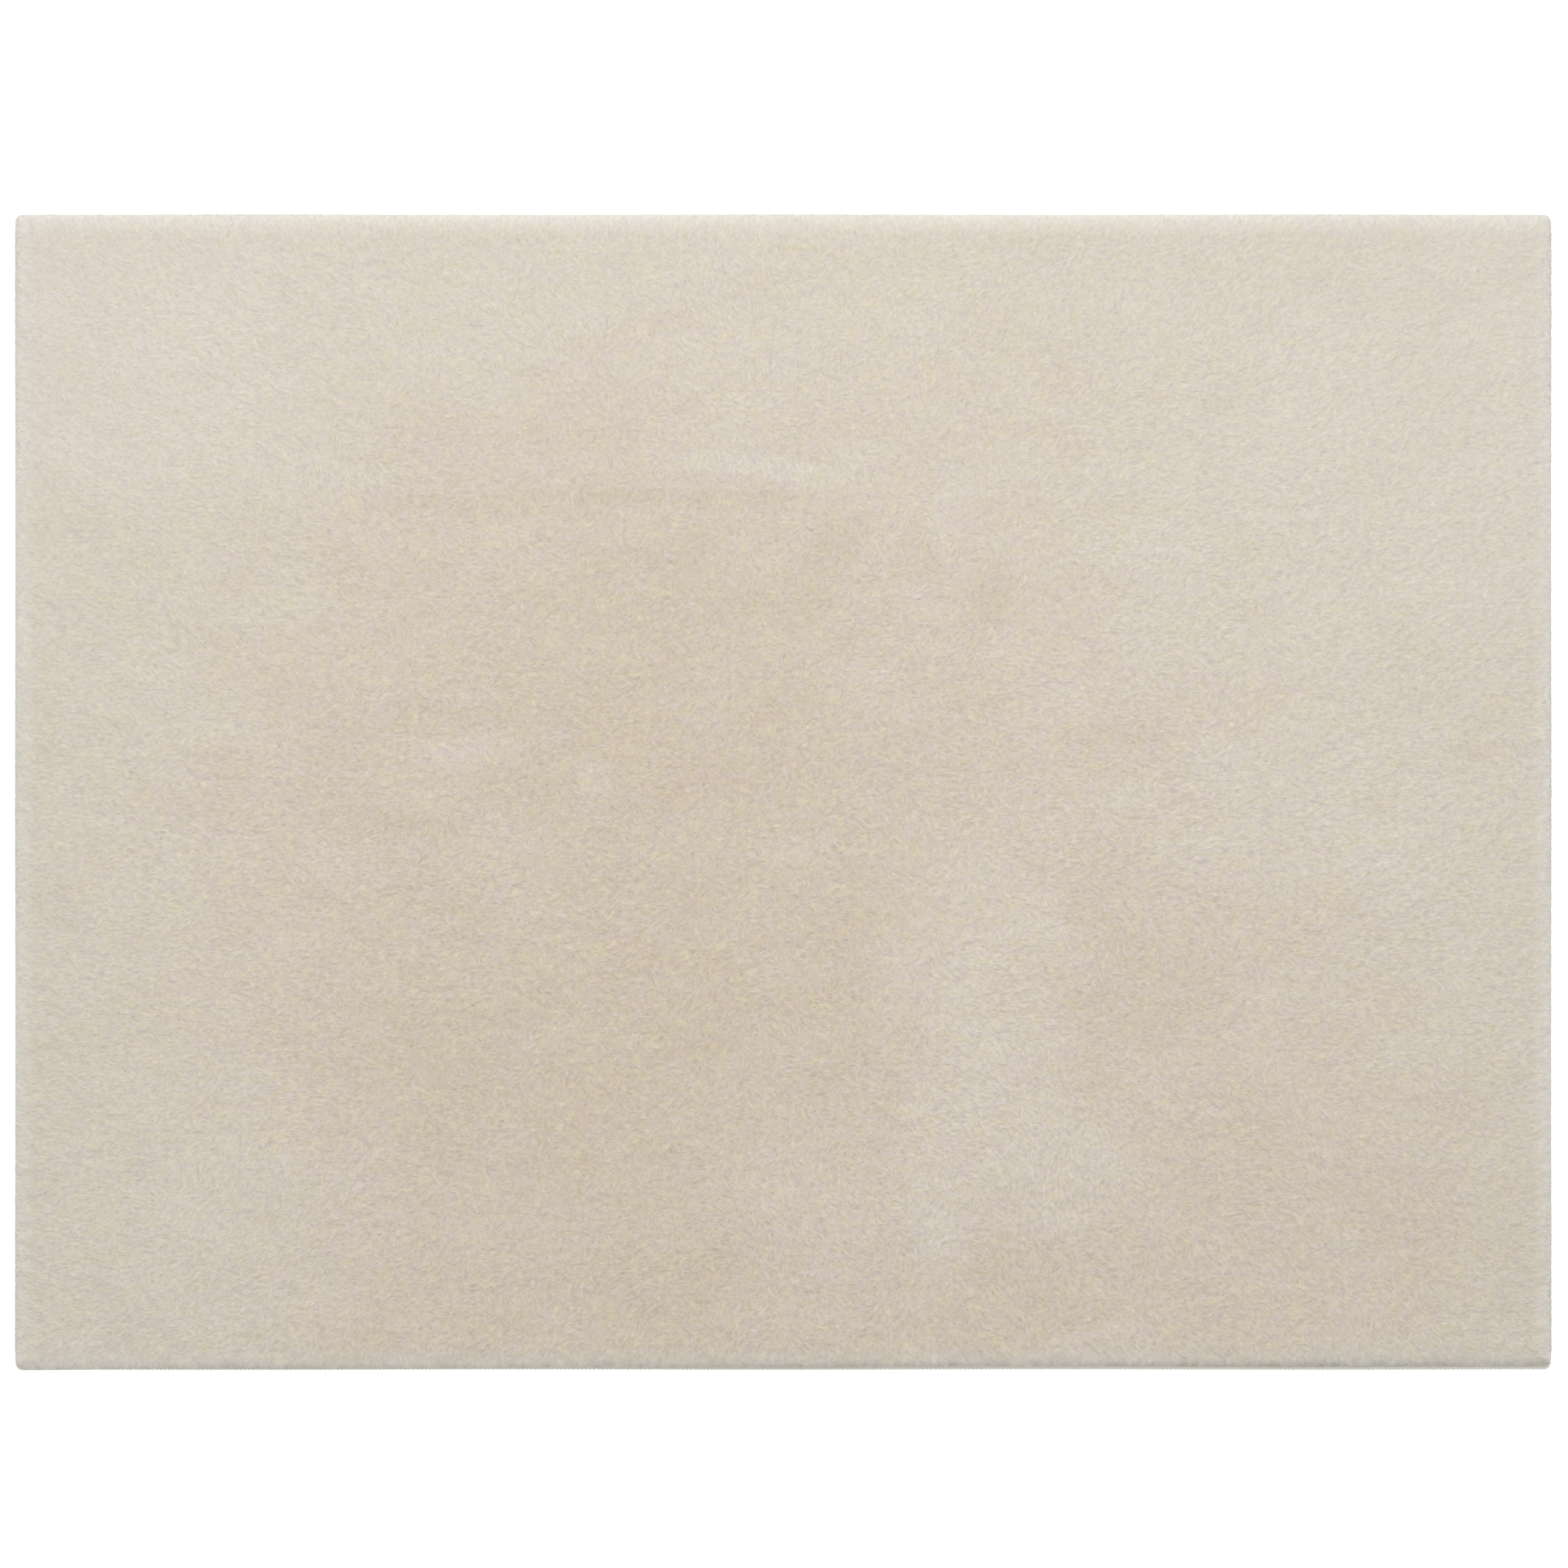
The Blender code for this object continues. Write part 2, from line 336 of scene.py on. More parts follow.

# Brushed and pressed patches. Columns: x, y, half length, half width, turn in degrees, tone
# (1 pale, -1 dark: painted light and shade of the brushed nap), lean of the tips along X and
# along Y, and how ruffled the locks are
PATCHES = (
    (-0.67, 0.46, 0.17, 0.15, 0, 0.75, 0, 0, 0),
    (-0.18, 0.52, 0.33, 0.11, 0, 0.3, 0, 0, 0),
    (0.56, 0.3, 0.26, 0.17, 0, 0.3, 0.2, 0.1, 0),
    (0.56, -0.02, 0.2, 0.09, 0, 0.5, 0.2, 0, 0),
    (0.1, 0.42, 0.16, 0.17, 0, 0.15, 0, 0, 0),
    (-0.21, 0.355, 0.24, 0.045, 0, -0.15, 0, -0.2, 0.1),
    (-0.18, 0.302, 0.25, 0.01, 1, -0.65, 0, -0.4, 0.2),
    (-0.02, 0.338, 0.1, 0.013, -4, 0.7, 0, 0.6, 0.1),
    (-0.47, 0.337, 0.06, 0.014, -12, 0.65, 0, 0.5, 0.1),
    (-0.17, 0.235, 0.25, 0.07, 0, -0.5, 0, -0.1, 0),
    (0.048, 0.235, 0.024, 0.06, -20, -0.75, 0.3, 0, 0.2),
    (-0.2, 0.08, 0.28, 0.12, 0, -0.55, 0, -0.1, 0),
    (-0.33, 0.04, 0.045, 0.018, 0, 0.8, 0, 0.4, 0.5),
    (-0.197, 0.018, 0.016, 0.02, 0, 0.95, 0.3, 0.3, 1),
    (-0.35, 0.104, 0.055, 0.01, -10, 0.5, 0, 0.3, 0.3),
    (-0.38, -0.035, 0.065, 0.012, 0, -0.65, 0, -0.4, 0.3),
    (-0.48, -0.06, 0.018, 0.03, 0, 0.4, 0, 0, 0.3),
    (0.03, -0.065, 0.035, 0.012, 0, 0.45, 0, 0.3, 0.6),
    (-0.25, -0.23, 0.26, 0.15, 0, -0.65, 0, 0, 0.1),
    (-0.25, -0.46, 0.16, 0.14, 0, -0.4, 0, 0, 0.1),
    (0.05, -0.18, 0.055, 0.12, 5, -0.35, 0.1, 0, 0.1),
    (0.125, -0.27, 0.015, 0.06, -20, -0.3, 0, 0, 0.1),
    (0.21, -0.2, 0.08, 0.21, -6, 0.6, 0.4, 0, 0.1),
    (0.16, -0.45, 0.028, 0.06, 15, 0.5, -0.3, 0.3, 0),
    (0.29, -0.39, 0.06, 0.06, 35, 0.45, -0.4, -0.4, 0.1),
    (0.385, -0.2, 0.075, 0.07, 0, -0.45, 0, 0, 0),
    (0.62, -0.42, 0.22, 0.15, 0, -0.7, 0, -0.1, 0),
    (0.25, -0.5, 0.06, 0.05, 0, -0.6, 0, -0.3, 0.2),
    (0.05, -0.54, 0.5, 0.06, 0, -0.25, 0, 0, 0.1),
    (-0.06, -0.5, 0.06, 0.04, 0, -0.4, 0, 0, 0.1),
    (-0.64, -0.45, 0.15, 0.14, 0, 0.35, 0, 0, 0),
    (0.135, 0.255, 0.018, 0.03, 0, -0.7, 0.2, 0, 0.5),
    (0.215, 0.213, 0.018, 0.03, 0, -0.6, -0.2, 0, 0.4),
    (0.16, 0.285, 0.05, 0.01, 55, 0.3, 0.3, 0.3, 0.6),
    (0.32, 0.325, 0.04, 0.025, 35, 0.5, 0.5, 0.4, 1.6),
    (0.055, 0.542, 0.035, 0.03, 0, -0.2, 0, -0.4, 1.4),
    (-0.343, 0.575, 0.04, 0.015, 0, -0.25, 0, -0.3, 1),
    (0.35, 0.045, 0.06, 0.03, 0, -0.35, 0, 0, 0.1),
    (0.745, 0.045, 0.05, 0.01, 0, -0.6, 0, -0.6, 0.1),
)
PATCH_WAVER = 0.010
PATCH_REACH = 1.5
TONE, LEAN_X, LEAN_Y, RUFFLE = range(4)


def between(first, second, share):
    """The value a share of the way from the first to the second."""
    return first * (1 - share) + second * share


def soft_noise(x, y, width, seed):
    """Smooth noise from -1 to 1: seeded numbers on a lattice of that width, eased in between.

    Each seed turns its lattice by another angle.
    """
    table = np.random.default_rng(seed).uniform(-1, 1, (LATTICE, LATTICE))
    turn = seed * 0.7 + 0.4
    c, s = math.cos(turn) / width, math.sin(turn) / width
    u, v = x * c - y * s + 2 * LATTICE, x * s + y * c + 2 * LATTICE
    i, j = np.floor(u).astype(int), np.floor(v).astype(int)
    s, t = u - i, v - j
    s, t = s * s * (3 - 2 * s), t * t * (3 - 2 * t)
    i, j, k, m = (place % LATTICE for place in (i, j, i + 1, j + 1))
    return between(
        between(table[i, j], table[k, j], s), between(table[i, m], table[k, m], s), t
    )


def noise_sum(x, y, layers):
    """Adds up soft noises. Each layer gives its strength, its width along X, how many times
    narrower it is across, and its seed."""
    return sum(a * soft_noise(x, y * narrow, width, seed) for a, width, narrow, seed in layers)


def patch_sum(x, y, column):
    """Adds up one column of the patches: each is full inside its rounded rectangle and falls at
    its edge, by the exponential of minus (u to the fourth + v to the fourth). u and v are the
    places along and across it in half sizes; the edges waver by a slow noise. Past its reach,
    in half diagonals, a patch is too weak to count and is left out."""
    x = x + PATCH_WAVER * soft_noise(x, y, 0.045, 21)
    y = y + PATCH_WAVER * 0.6 * soft_noise(x, y, 0.060, 22)
    total = np.zeros_like(x)
    for px, py, along, across, turn, *effects in PATCHES:
        if not effects[column]:
            continue
        near = np.hypot(x - px, y - py) < PATCH_REACH * math.hypot(along, across)
        if near.any():
            c, s = math.cos(math.radians(turn)), math.sin(math.radians(turn))
            u = np.square(((x[near] - px) * c + (y[near] - py) * s) / along)
            v = np.square(((y[near] - py) * c - (x[near] - px) * s) / across)
            total[near] += effects[column] * np.exp(-(u * u + v * v))
    return total


def front_recess(x, y):
    """How far the pile at a place is drawn back: the depth there, fading out inwards."""
    fade = np.clip((RECESS_FADE - y - half_width) / RECESS_FADE, 0, 1)
    return np.interp(x, FRONT_RECESS_X, FRONT_RECESS_DEPTH) * fade


def draw_back(x, y):
    """Moves an even spread of places in from the front edge, so that its outline follows the
    recess: y becomes (y + depth) / (1 + depth / fade), counted from the front edge."""
    depth = np.interp(x, FRONT_RECESS_X, FRONT_RECESS_DEPTH)
    from_front = y + half_width
    moved = (from_front + depth) / (1 + depth / RECESS_FADE)
    return np.where(from_front < RECESS_FADE, moved, from_front) - half_width


def rim_norm(u, v):
    """The p-norm of u and v, and p. The power falls from the higher of the two at the outline,
    where the larger of u and v is 1, so that the corners turn ever more softly inwards."""
    low, high = RIM_POWERS
    p = low + (high - low) * np.minimum(np.maximum(u, v), 1) ** 3
    return (u**p + v**p) ** (1 / p), p


def rim_shares(x, y):
    """How far out in the edge roll a place is to the long and the short sides: 1 at the
    outline and 0 inside the roll. Also the distance to the nearest side."""
    to_side, to_end = half_length - np.abs(x), half_width - np.abs(y)
    u, v = np.clip(1 - to_side / EDGE_ROLL, 0, None), np.clip(1 - to_end / EDGE_ROLL, 0, None)
    return u, v, np.minimum(to_side, to_end)


def inside_rim(x, y):
    """Distance inwards from the outline of the pile and the direction straight outwards.
    Within the edge roll the distance is the roll times one less the norm of the rim shares.
    The front side is drawn back by the recess."""
    y = y - front_recess(x, y)
    u, v, nearest_side = rim_shares(x, y)
    norm, p = rim_norm(u, v)
    gap = np.where(norm > 0, EDGE_ROLL * (1 - norm), nearest_side)
    length = np.maximum(np.hypot(u ** (p - 1), v ** (p - 1)), 1e-9)
    return gap, u ** (p - 1) / length * np.sign(x), v ** (p - 1) / length * np.sign(y)


def crown_raster():
    """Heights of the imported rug's top on a grid, read with a Shrinkwrap straight down."""
    columns = int(round(2 * half_length / CROWN_CELL)) + 1
    rows = int(round(2 * half_width / CROWN_CELL)) + 1
    x, y = np.meshgrid(
        np.linspace(-half_length, half_length, columns), np.linspace(-half_width, half_width, rows)
    )
    points = np.stack([x, y, np.full_like(x, cad_high[2] + 0.01)], axis=-1).reshape(-1, 3)
    probe_mesh = make_mesh("crown_probe", points, grid_quads(rows, columns))
    probe = add_object("crown_probe", probe_mesh)
    wrap = probe.modifiers.new("down", "SHRINKWRAP")
    wrap.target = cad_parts[PILE_CLOTH_NODE]
    wrap.wrap_method = "PROJECT"
    wrap.use_project_z = True
    wrap.use_negative_direction = True
    wrap.use_positive_direction = False
    read = probe.evaluated_get(bpy.context.evaluated_depsgraph_get()).data
    found = np.empty(len(points) * 3, np.float32)
    read.vertices.foreach_get("co", found)
    bpy.data.objects.remove(probe, do_unlink=True)
    bpy.data.meshes.remove(probe_mesh)
    return found.reshape(rows, columns, 3)[:, :, 2].astype(float)


crown = crown_raster()


def crown_height(x, y):
    """Bilinear reading of the raster, with the fall at the edges left out."""
    rows, columns = np.array(crown.shape) - CROWN_MARGIN - 1.001
    u = np.clip((x + half_length) / CROWN_CELL, CROWN_MARGIN, columns)
    v = np.clip((y + half_width) / CROWN_CELL, CROWN_MARGIN, rows)
    i, j = u.astype(int), v.astype(int)
    s, t = u - i, v - j
    low = between(crown[j, i], crown[j, i + 1], s)
    return between(low, between(crown[j + 1, i], crown[j + 1, i + 1], s), t)


def edge_fall(gap):
    """Share of the crown's height at a distance inside the rim: a superellipse's quarter."""
    g = np.clip(gap / EDGE_ROLL, 0, 1)
    return (1 - (1 - g) ** EDGE_ROLL_POWER) ** (1 / EDGE_ROLL_POWER)


def painted_light_cast(x, y):
    """Share of painted light, in the rim's pale grey, where the pile's lean shows its tips to the
    light: none in the middle, growing with the square of the way to the ends, a little more to
    the left one, and with the way to the far side."""
    along, far = x / half_length, np.maximum(y / half_width, 0)
    return LIGHT_CAST * along**2 * (1 - LIGHT_CAST_SKEW * along) + LIGHT_CAST * far


def nap_shading_tone(x, y):
    """Pale and dark clouds of the brushed pile, painted light and shade of its nap, wider along X
    than across, about -1 to 1, with painted paler sides and ends.
    """
    across, along = np.abs(y) / half_width, x / half_length
    rise = PAINTED_LIGHT_RISE[0] * across + PAINTED_LIGHT_RISE[1] * along**2 + PAINTED_LIGHT_RISE[2] * along
    return patch_sum(x, y, TONE) + noise_sum(x, y, NAP_NOISES) + rise + TONE_MIDDLE


# Pale and Dark are mixed by the nap's painted light and shade; Shade Colour is painted shade
PILE_COLOURS = {
    "Pale": (0.645, 0.586, 0.519),
    "Dark": (0.571, 0.490, 0.390),
    "Yellow": (0.633, 0.566, 0.405),
    "Lilac": (0.612, 0.524, 0.486),
    "Rim Colour": (0.805, 0.793, 0.735),
    "Shade Colour": (0.425, 0.402, 0.330),
}


def pile_colour_group():
    """Cream of the pile: dark to pale with the nap's painted light and shade, tinged yellow or
    lilac lock by lock, a painted pale grey rim light where light shines through the fringe, and
    dusky with the painted shade. The fuzz makes it brighter and darker, at the rim half as much."""
    numbers = dict.fromkeys(("Nap", "Tint", "Rim", "Shade", "Fuzz"), 0.0)
    defaults = {**numbers, **PILE_COLOURS, "Fuzz Amount": 0.125}
    tree, inputs, result = new_group("pile_colour", defaults, "Colour")
    share = combine(tree, "ADD", combine(tree, "MULTIPLY", inputs["Nap"], 0.5), 0.5)
    cream = mix(tree, share, inputs["Dark"], inputs["Pale"])
    yellow = combine(tree, "MAXIMUM", inputs["Tint"], 0.0)
    lilac = combine(tree, "MAXIMUM", combine(tree, "MULTIPLY", inputs["Tint"], -1.0), 0.0)
    shares = {"Yellow": yellow, "Lilac": lilac}
    shares |= {"Rim Colour": inputs["Rim"], "Shade Colour": inputs["Shade"]}
    for label, share in shares.items():
        cream = mix(tree, share, cream, inputs[label])
    calm = combine(tree, "SUBTRACT", 1.0, combine(tree, "MULTIPLY", inputs["Rim"], 1.8))
    fuzz = combine(tree, "MULTIPLY", inputs["Fuzz"], inputs["Fuzz Amount"])
    fuzz = combine(tree, "MULTIPLY", fuzz, combine(tree, "MAXIMUM", calm, 0.5))
    lit = tree.nodes.new("ShaderNodeVectorMath")
    lit.operation = "SCALE"
    feed(tree, lit, {0: cream, "Scale": combine(tree, "ADD", fuzz, 1.0)})
    feed(tree, result, {"Colour": lit.outputs[0]})
    return tree


pile_colour = pile_colour_group()


def combed_fibre_group():
    """Fine fibres lying along the lean: four noises, each drawn out at its own angle, added in
    the shares in which the lean's doubled angle points their way. A mask from -1 to 1."""
    defaults = {"Vector": 0.0, "Comb X": 1.0, "Comb Y": 0.0, "Length": 0.006, "Width": 0.001}
    tree, inputs, result = new_group("combed_fibre", defaults, "Mask")
    long, wide = inputs["Length"], inputs["Width"]
    size = add_node(tree, "CombineXYZ", X=long, Y=wide, Z=long).outputs[0]
    total = 0.0
    for quarter in range(4):
        turned = add_node(
            tree,
            "Mapping",
            Vector=inputs["Vector"],
            Location=(0.31 * quarter, 0.17 * quarter, 0.0),
            Rotation=(0.0, 0.0, quarter * math.pi / 4),
            Scale=size,
        )
        turned.vector_type = "TEXTURE"
        sizes = {"Scale": 1.0, "Detail": 1.0, "Roughness": 0.5, "Distortion": 0.6}
        noise = add_node(tree, "TexNoise", Vector=turned.outputs[0], **sizes)
        comb = inputs["Comb Y" if quarter % 2 else "Comb X"]
        share = combine(tree, "MULTIPLY", comb, 1.0 if quarter < 2 else -1.0)
        centred = combine(tree, "SUBTRACT", noise.outputs[0], 0.5)
        part = combine(tree, "MULTIPLY", centred, combine(tree, "MAXIMUM", share, 0.0))
        total = combine(tree, "ADD", total, part)
    feed(tree, result, {"Mask": combine(tree, "MULTIPLY", total, 4.0)})
    return tree


combed_fibre = combed_fibre_group()

# Length and width of the long and of the short fibres' noise
FIBRE_SIZES = ((0.0068, 0.0031), (0.0042, 0.0018))


def pile_material():
    """Matt polyester fibre with a soft sheen; nap (painted light and shade of the brushed pile),
    tint, rim (painted rim light), shade (painted shade) and the comb's doubled angle are
    attributes of each piece."""
    material, tree, shader, place = new_material(
        "cream_plush", roughness=0.95, sheen=0.12, specular=0.15
    )
    numbers = {}
    for label in ("Comb_X", "Comb_Y", "Nap", "Tint", "Rim", "Shade"):
        attribute = add_node(tree, "Attribute")
        attribute.attribute_name = label.lower()
        numbers[label] = attribute.outputs["Fac"]
    comb = {label: numbers.pop(label) for label in ("Comb_X", "Comb_Y")}
    long, short = (
        add_group(tree, combed_fibre, Vector=place, Length=length, Width=width, **comb)
        for length, width in FIBRE_SIZES
    )
    fuzz = combine(tree, "ADD", long, combine(tree, "MULTIPLY", short, 0.5))
    colour = add_group(tree, pile_colour, Fuzz=fuzz, **numbers)
    dress(tree, shader, colour, fuzz, strength=0.5, distance=0.0006)
    return material


cream_plush = pile_material()
# Painted rim light: a pale grey band inside the outline, where light shines through the thin fringe
# of strands. The front dusk below is painted shade.
RIM_BAND = 0.026
RIM_PALE = 0.75
RIM_PALE_POWER = 1.6
FRONT_DUSK = 0.0072
FRONT_WALL = 0.0022
FRONT_WALL_DUSK = 0.45
FRONT_TUFTS = 0.88
TINT_MOST = 1.4


def painted_rim_light(x, y):
    """How much of the painted rim light, a pale grey, a place takes: most of it at the outline
    and none inside the band, plus the painted light cast."""
    band = RIM_PALE * np.clip(1 - inside_rim(x, y)[0] / RIM_BAND, 0, 1) ** RIM_PALE_POWER
    return band + painted_light_cast(x, y) * (1 - band)


def front_shade(x, y):
    """Dusk at the front edge, where the tufts are seen from the side: it dies away inwards
    with the exponential of the distance, is deepest where the pile draws back most, is weaker
    on the wall itself, which the floor lights, and changes from tuft to tuft."""
    gap, _, out_y = inside_rim(x, y)
    depth = 0.5 + 0.5 * np.interp(x, FRONT_RECESS_X, FRONT_RECESS_DEPTH) / FRONT_RECESS_DEPTH[-1]
    tufts = FRONT_TUFTS + noise_sum(x, y, TUFT_NOISES)
    wall = between(FRONT_WALL_DUSK, 1.0, np.clip(gap / FRONT_WALL, 0, 1))
    dusk = np.exp(-gap / FRONT_DUSK) * depth * tufts * wall
    return np.clip(dusk, 0, 1) * (out_y < -0.5)


def plush_piece(mesh, points, attributes):
    """Makes a mesh a piece of cream plush. Each point gets the numbers that the material reads
    by name, and each corner a UV straight down: its place across the piece's box, 0 to 1."""
    for label, values in attributes.items():
        layer = mesh.attributes.new(label, "FLOAT", "POINT")
        layer.data.foreach_set("value", values.astype(np.float32))
    low, high = points[:, :2].min(axis=0), points[:, :2].max(axis=0)
    corners = np.empty(len(mesh.loops), np.int32)
    mesh.loops.foreach_get("vertex_index", corners)
    plan = ((points[:, :2] - low) / (high - low))[corners]
    layer = mesh.uv_layers.new(name="OFBake")
    layer.data.foreach_set("uv", plan.astype(np.float32).ravel())
    return make_piece(mesh.name, mesh, cream_plush)


def unit(vectors):
    """The same directions at length one."""
    return vectors / np.maximum(np.linalg.norm(vectors, axis=-1, keepdims=True), 1e-12)


# Lean along X and along Y: outwards, in slow waves and in quick waves
OUTWARD_LEAN = (0.8, 0.25)
SLOW_LEAN = (0.4, 0.2)
QUICK_LEAN = (0.55, 0.35)
SLOW_WIDTH, QUICK_WIDTH = 0.06, 0.011
RIM_LEAN = 1.6
RIM_LEAN_FULL, RIM_LEAN_FADE = 0.006, 0.010
# Painted highlight on the lumps and painted shade between them
LUMP_LIGHT = 0.10
GRAIN = 1.4
COMB_READINGS = 7


def grain(x, y):
    """How much the strands and lumps differ: least where the painted light cast is strongest."""
    return GRAIN * (1 - 2.0 * painted_light_cast(x, y))


def lean_field(x, y):
    """Which way the tips lean, as its parts along X and Y: the patches' lean, an outward lean,
    slow and quick waves, and close to the rim straight outwards."""
    gap, *out = inside_rim(x, y)
    ruffle = 1 + patch_sum(x, y, RUFFLE)
    near_rim = RIM_LEAN * np.exp(-np.maximum(gap - RIM_LEAN_FULL, 0) / RIM_LEAN_FADE)
    share, lean = (x / half_length, y / half_width), []
    for k, column in enumerate((LEAN_X, LEAN_Y)):
        slow = SLOW_LEAN[k] * soft_noise(x, y, SLOW_WIDTH, 33 + k)
        quick = QUICK_LEAN[k] * soft_noise(x, y, QUICK_WIDTH, 53 + k) * ruffle
        steady = patch_sum(x, y, column) + OUTWARD_LEAN[k] * share[k] + near_rim * out[k]
        lean.append(steady + (slow + quick))
    return lean


def combed_noise(x, y, width, reach, seed):
    """Soft noise drawn out along the lean: the mean of readings spaced evenly along it, from
    minus to plus the reach, doubled to make up for the averaging."""
    lean_x, lean_y = lean_field(x, y)
    lean = np.maximum(np.hypot(lean_x, lean_y), 1e-6)
    total = 0.0
    for step in np.linspace(-reach, reach, COMB_READINGS):
        total = total + soft_noise(x + step * lean_x / lean, y + step * lean_y / lean, width, seed)
    return total / COMB_READINGS * 2


def pile_relief(x, y, gap, ruffle):
    """How far small combed lumps at two sizes lift the pile, and how much they catch the light.

    The broad ones are larger in ruffled patches and on the rim's shoulder, and both are
    flatter at the outline, which stays nearly straight.
    """
    (fine_lift, *fine), (broad_lift, *broad) = RELIEF_FINE, RELIEF_BROAD
    fine, broad = combed_noise(x, y, *fine), combed_noise(x, y, *broad)
    shoulder = np.exp(-(((gap - RIM_LUMPS_INSET) / RIM_LUMPS_WIDTH) ** 2))
    lift = fine_lift * fine + broad_lift * broad * (1 + ruffle + RIM_LUMPS * shoulder)
    return lift * np.clip(gap / RELIEF_EDGE, 0.15, 1), fine + 0.25 * broad


def pile_surface(x, y):
    """Points on the pile's surface, the direction straight out of it, and its relief.

    Height = rim + (crown - rim) times the edge fall. Its slope is read over a short step.
    Each point is then moved along the way out by the lift of its lumps.
    """
    gap, out_x, out_y = inside_rim(x, y)
    above = crown_height(x, y) - RIM_HEIGHT
    fall = edge_fall(gap)
    z = RIM_HEIGHT + above * fall
    slope = above * (edge_fall(gap + SLOPE_STEP) - fall) / SLOPE_STEP
    surface = unit(np.stack([slope * out_x, slope * out_y, np.ones_like(x)], axis=-1))
    lift, relief = pile_relief(x, y, gap, patch_sum(x, y, RUFFLE))
    return np.stack([x, y, z], axis=-1) + surface * lift[..., None], surface, relief


def pile_attributes(x, y, relief):
    """Numbers that the plush material reads: the nap is paler on the lumps and darker between them,
    a painted highlight and painted shade, and the comb is the cosine and sine of twice the
    lean's angle."""
    lean_x, lean_y = lean_field(x, y)
    doubled = 2 * np.arctan2(lean_y, lean_x)
    return {
        "nap": nap_shading_tone(x, y) + LUMP_LIGHT * grain(x, y) * relief,
        "tint": np.clip(noise_sum(x, y, TINT_NOISES), -TINT_MOST, TINT_MOST),
        "rim": painted_rim_light(x, y),
        "shade": front_shade(x, y),
        "comb_x": np.cos(doubled),
        "comb_y": np.sin(doubled),
    }


def rolled_steps(reach, cell):
    """Places from -reach to reach: even in the middle, and closing up within the roll at both
    ends with the power 1.5 of the way there."""
    ends, even = int(round(BED_ROLL * 1.5 / cell)), reach - BED_ROLL
    low = BED_ROLL * (np.arange(ends) / ends) ** 1.5 - reach
    middle = np.linspace(-even, even, int(round(2 * even / cell)) + 1)
    return np.concatenate([low, middle, -low[::-1]])


def bed_places():
    """Grid of places over the pile. In each corner square the rim shares u and v are scaled
    together until their norm is the larger of the two, so that the square's rows follow the
    rim's rows, and the front rows are drawn back."""
    along, across = rolled_steps(half_length, BED_CELL[0]), rolled_steps(half_width, BED_CELL[1])
    x, y = np.meshgrid(along, across)
    u, v, _ = rim_shares(x, y)
    widest, scale = np.maximum(u, v), np.ones_like(x)
    for _ in range(6):
        norm = np.maximum(rim_norm(u * scale, v * scale)[0], 1e-9)
        scale = np.where(np.minimum(u, v) > 0, scale * widest / norm, 1)
    x = x - np.sign(x) * EDGE_ROLL * u * (1 - scale)
    y = y - np.sign(y) * EDGE_ROLL * v * (1 - scale)
    return x, draw_back(x, y)


def bed_part(number, first, last, x, y, points, ways_out, relief):
    """Columns first to last of the bed as a closed body: the top, a skirt down from its rim and
    a flat foot. Skirt rings go inwards by each inset and down to each share of the height; at a
    cut between two parts they go straight down."""
    here = np.s_[:, first : last + 1]
    rows, columns = x[here].shape
    top, normals = points[here].reshape(-1, 3), ways_out[here].reshape(-1, 3)
    flat_x, flat_y, lumps = x[here].ravel(), y[here].ravel(), relief[here].ravel()
    across, up = np.arange(columns - 1), np.arange(rows - 1)
    front, right = across, (up + 1) * columns - 1
    far, left = rows * columns - 1 - across, (rows - 1 - up) * columns
    rim = np.concatenate([front, right, far, left])
    _, out_x, out_y = inside_rim(flat_x[rim], flat_y[rim])
    sides = (True, last == x.shape[1] - 1, True, first == 0)
    outer = np.repeat(sides, (columns - 1, rows - 1, columns - 1, rows - 1))
    outer[[columns - 1, columns + rows - 3, 1 - rows]] = True
    out = np.column_stack([out_x, out_y, np.zeros(len(rim))]) * outer[:, None]
    inset, share = np.array(BED_SKIRT).T[..., None]
    rings = top[rim] - out * inset[..., None]
    rings[..., 2] = BED_FOOT + (top[rim, 2] - BED_FOOT) * share
    ring_normals = unit(out - np.array([0, 0, 0.5]) * (1 - share[..., None]))
    middle = top.mean(axis=0) * (1, 1, 0) + (0, 0, BED_FOOT)
    everything = np.concatenate([top, rings.reshape(-1, 3), [middle]])
    last_point = len(everything) - 1
    loops = np.vstack([rim, np.arange(len(top), last_point).reshape(len(rings), -1)])
    after = np.roll(loops, -1, axis=1)
    walls = np.stack([loops[1:], after[1:], after[:-1], loops[:-1]], axis=-1).reshape(-1, 4)
    fan = np.stack([np.full(len(rim), last_point), after[-1], loops[-1]], axis=-1)
    faces = (grid_quads(rows, columns), walls, fan)
    mesh = make_mesh(f"pile_bed_{number}", everything, *faces)
    all_normals = np.concatenate([normals, ring_normals.reshape(-1, 3), [[0, 0, -1.0]]])
    mesh.normals_split_custom_set_from_vertices(all_normals.astype(np.float32))
    source = np.concatenate([np.arange(len(top)), np.tile(rim, len(rings)), [0]])
    attributes = pile_attributes(flat_x[source], flat_y[source], lumps[source])
    attributes["shade"][len(top) :] *= SKIRT_SHADE
    piece = plush_piece(mesh, everything, attributes)
    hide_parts(PILE_CLOTH_NODE)
    return piece


def build_bed():
    """The bed's grid once for the whole rug, its ways out from the cross product of its steps
    across and along, and then its parts side by side."""
    x, y = bed_places()
    points, _, relief = pile_surface(x, y)
    ways_out = unit(np.cross(np.gradient(points, axis=1), np.gradient(points, axis=0)))
    cuts = np.linspace(0, x.shape[1] - 1, BED_PARTS + 1).astype(int)
    return [
        bed_part(number + 1, cuts[number], cuts[number + 1], x, y, points, ways_out, relief)
        for number in range(BED_PARTS)
    ]


bed_pieces = build_bed()

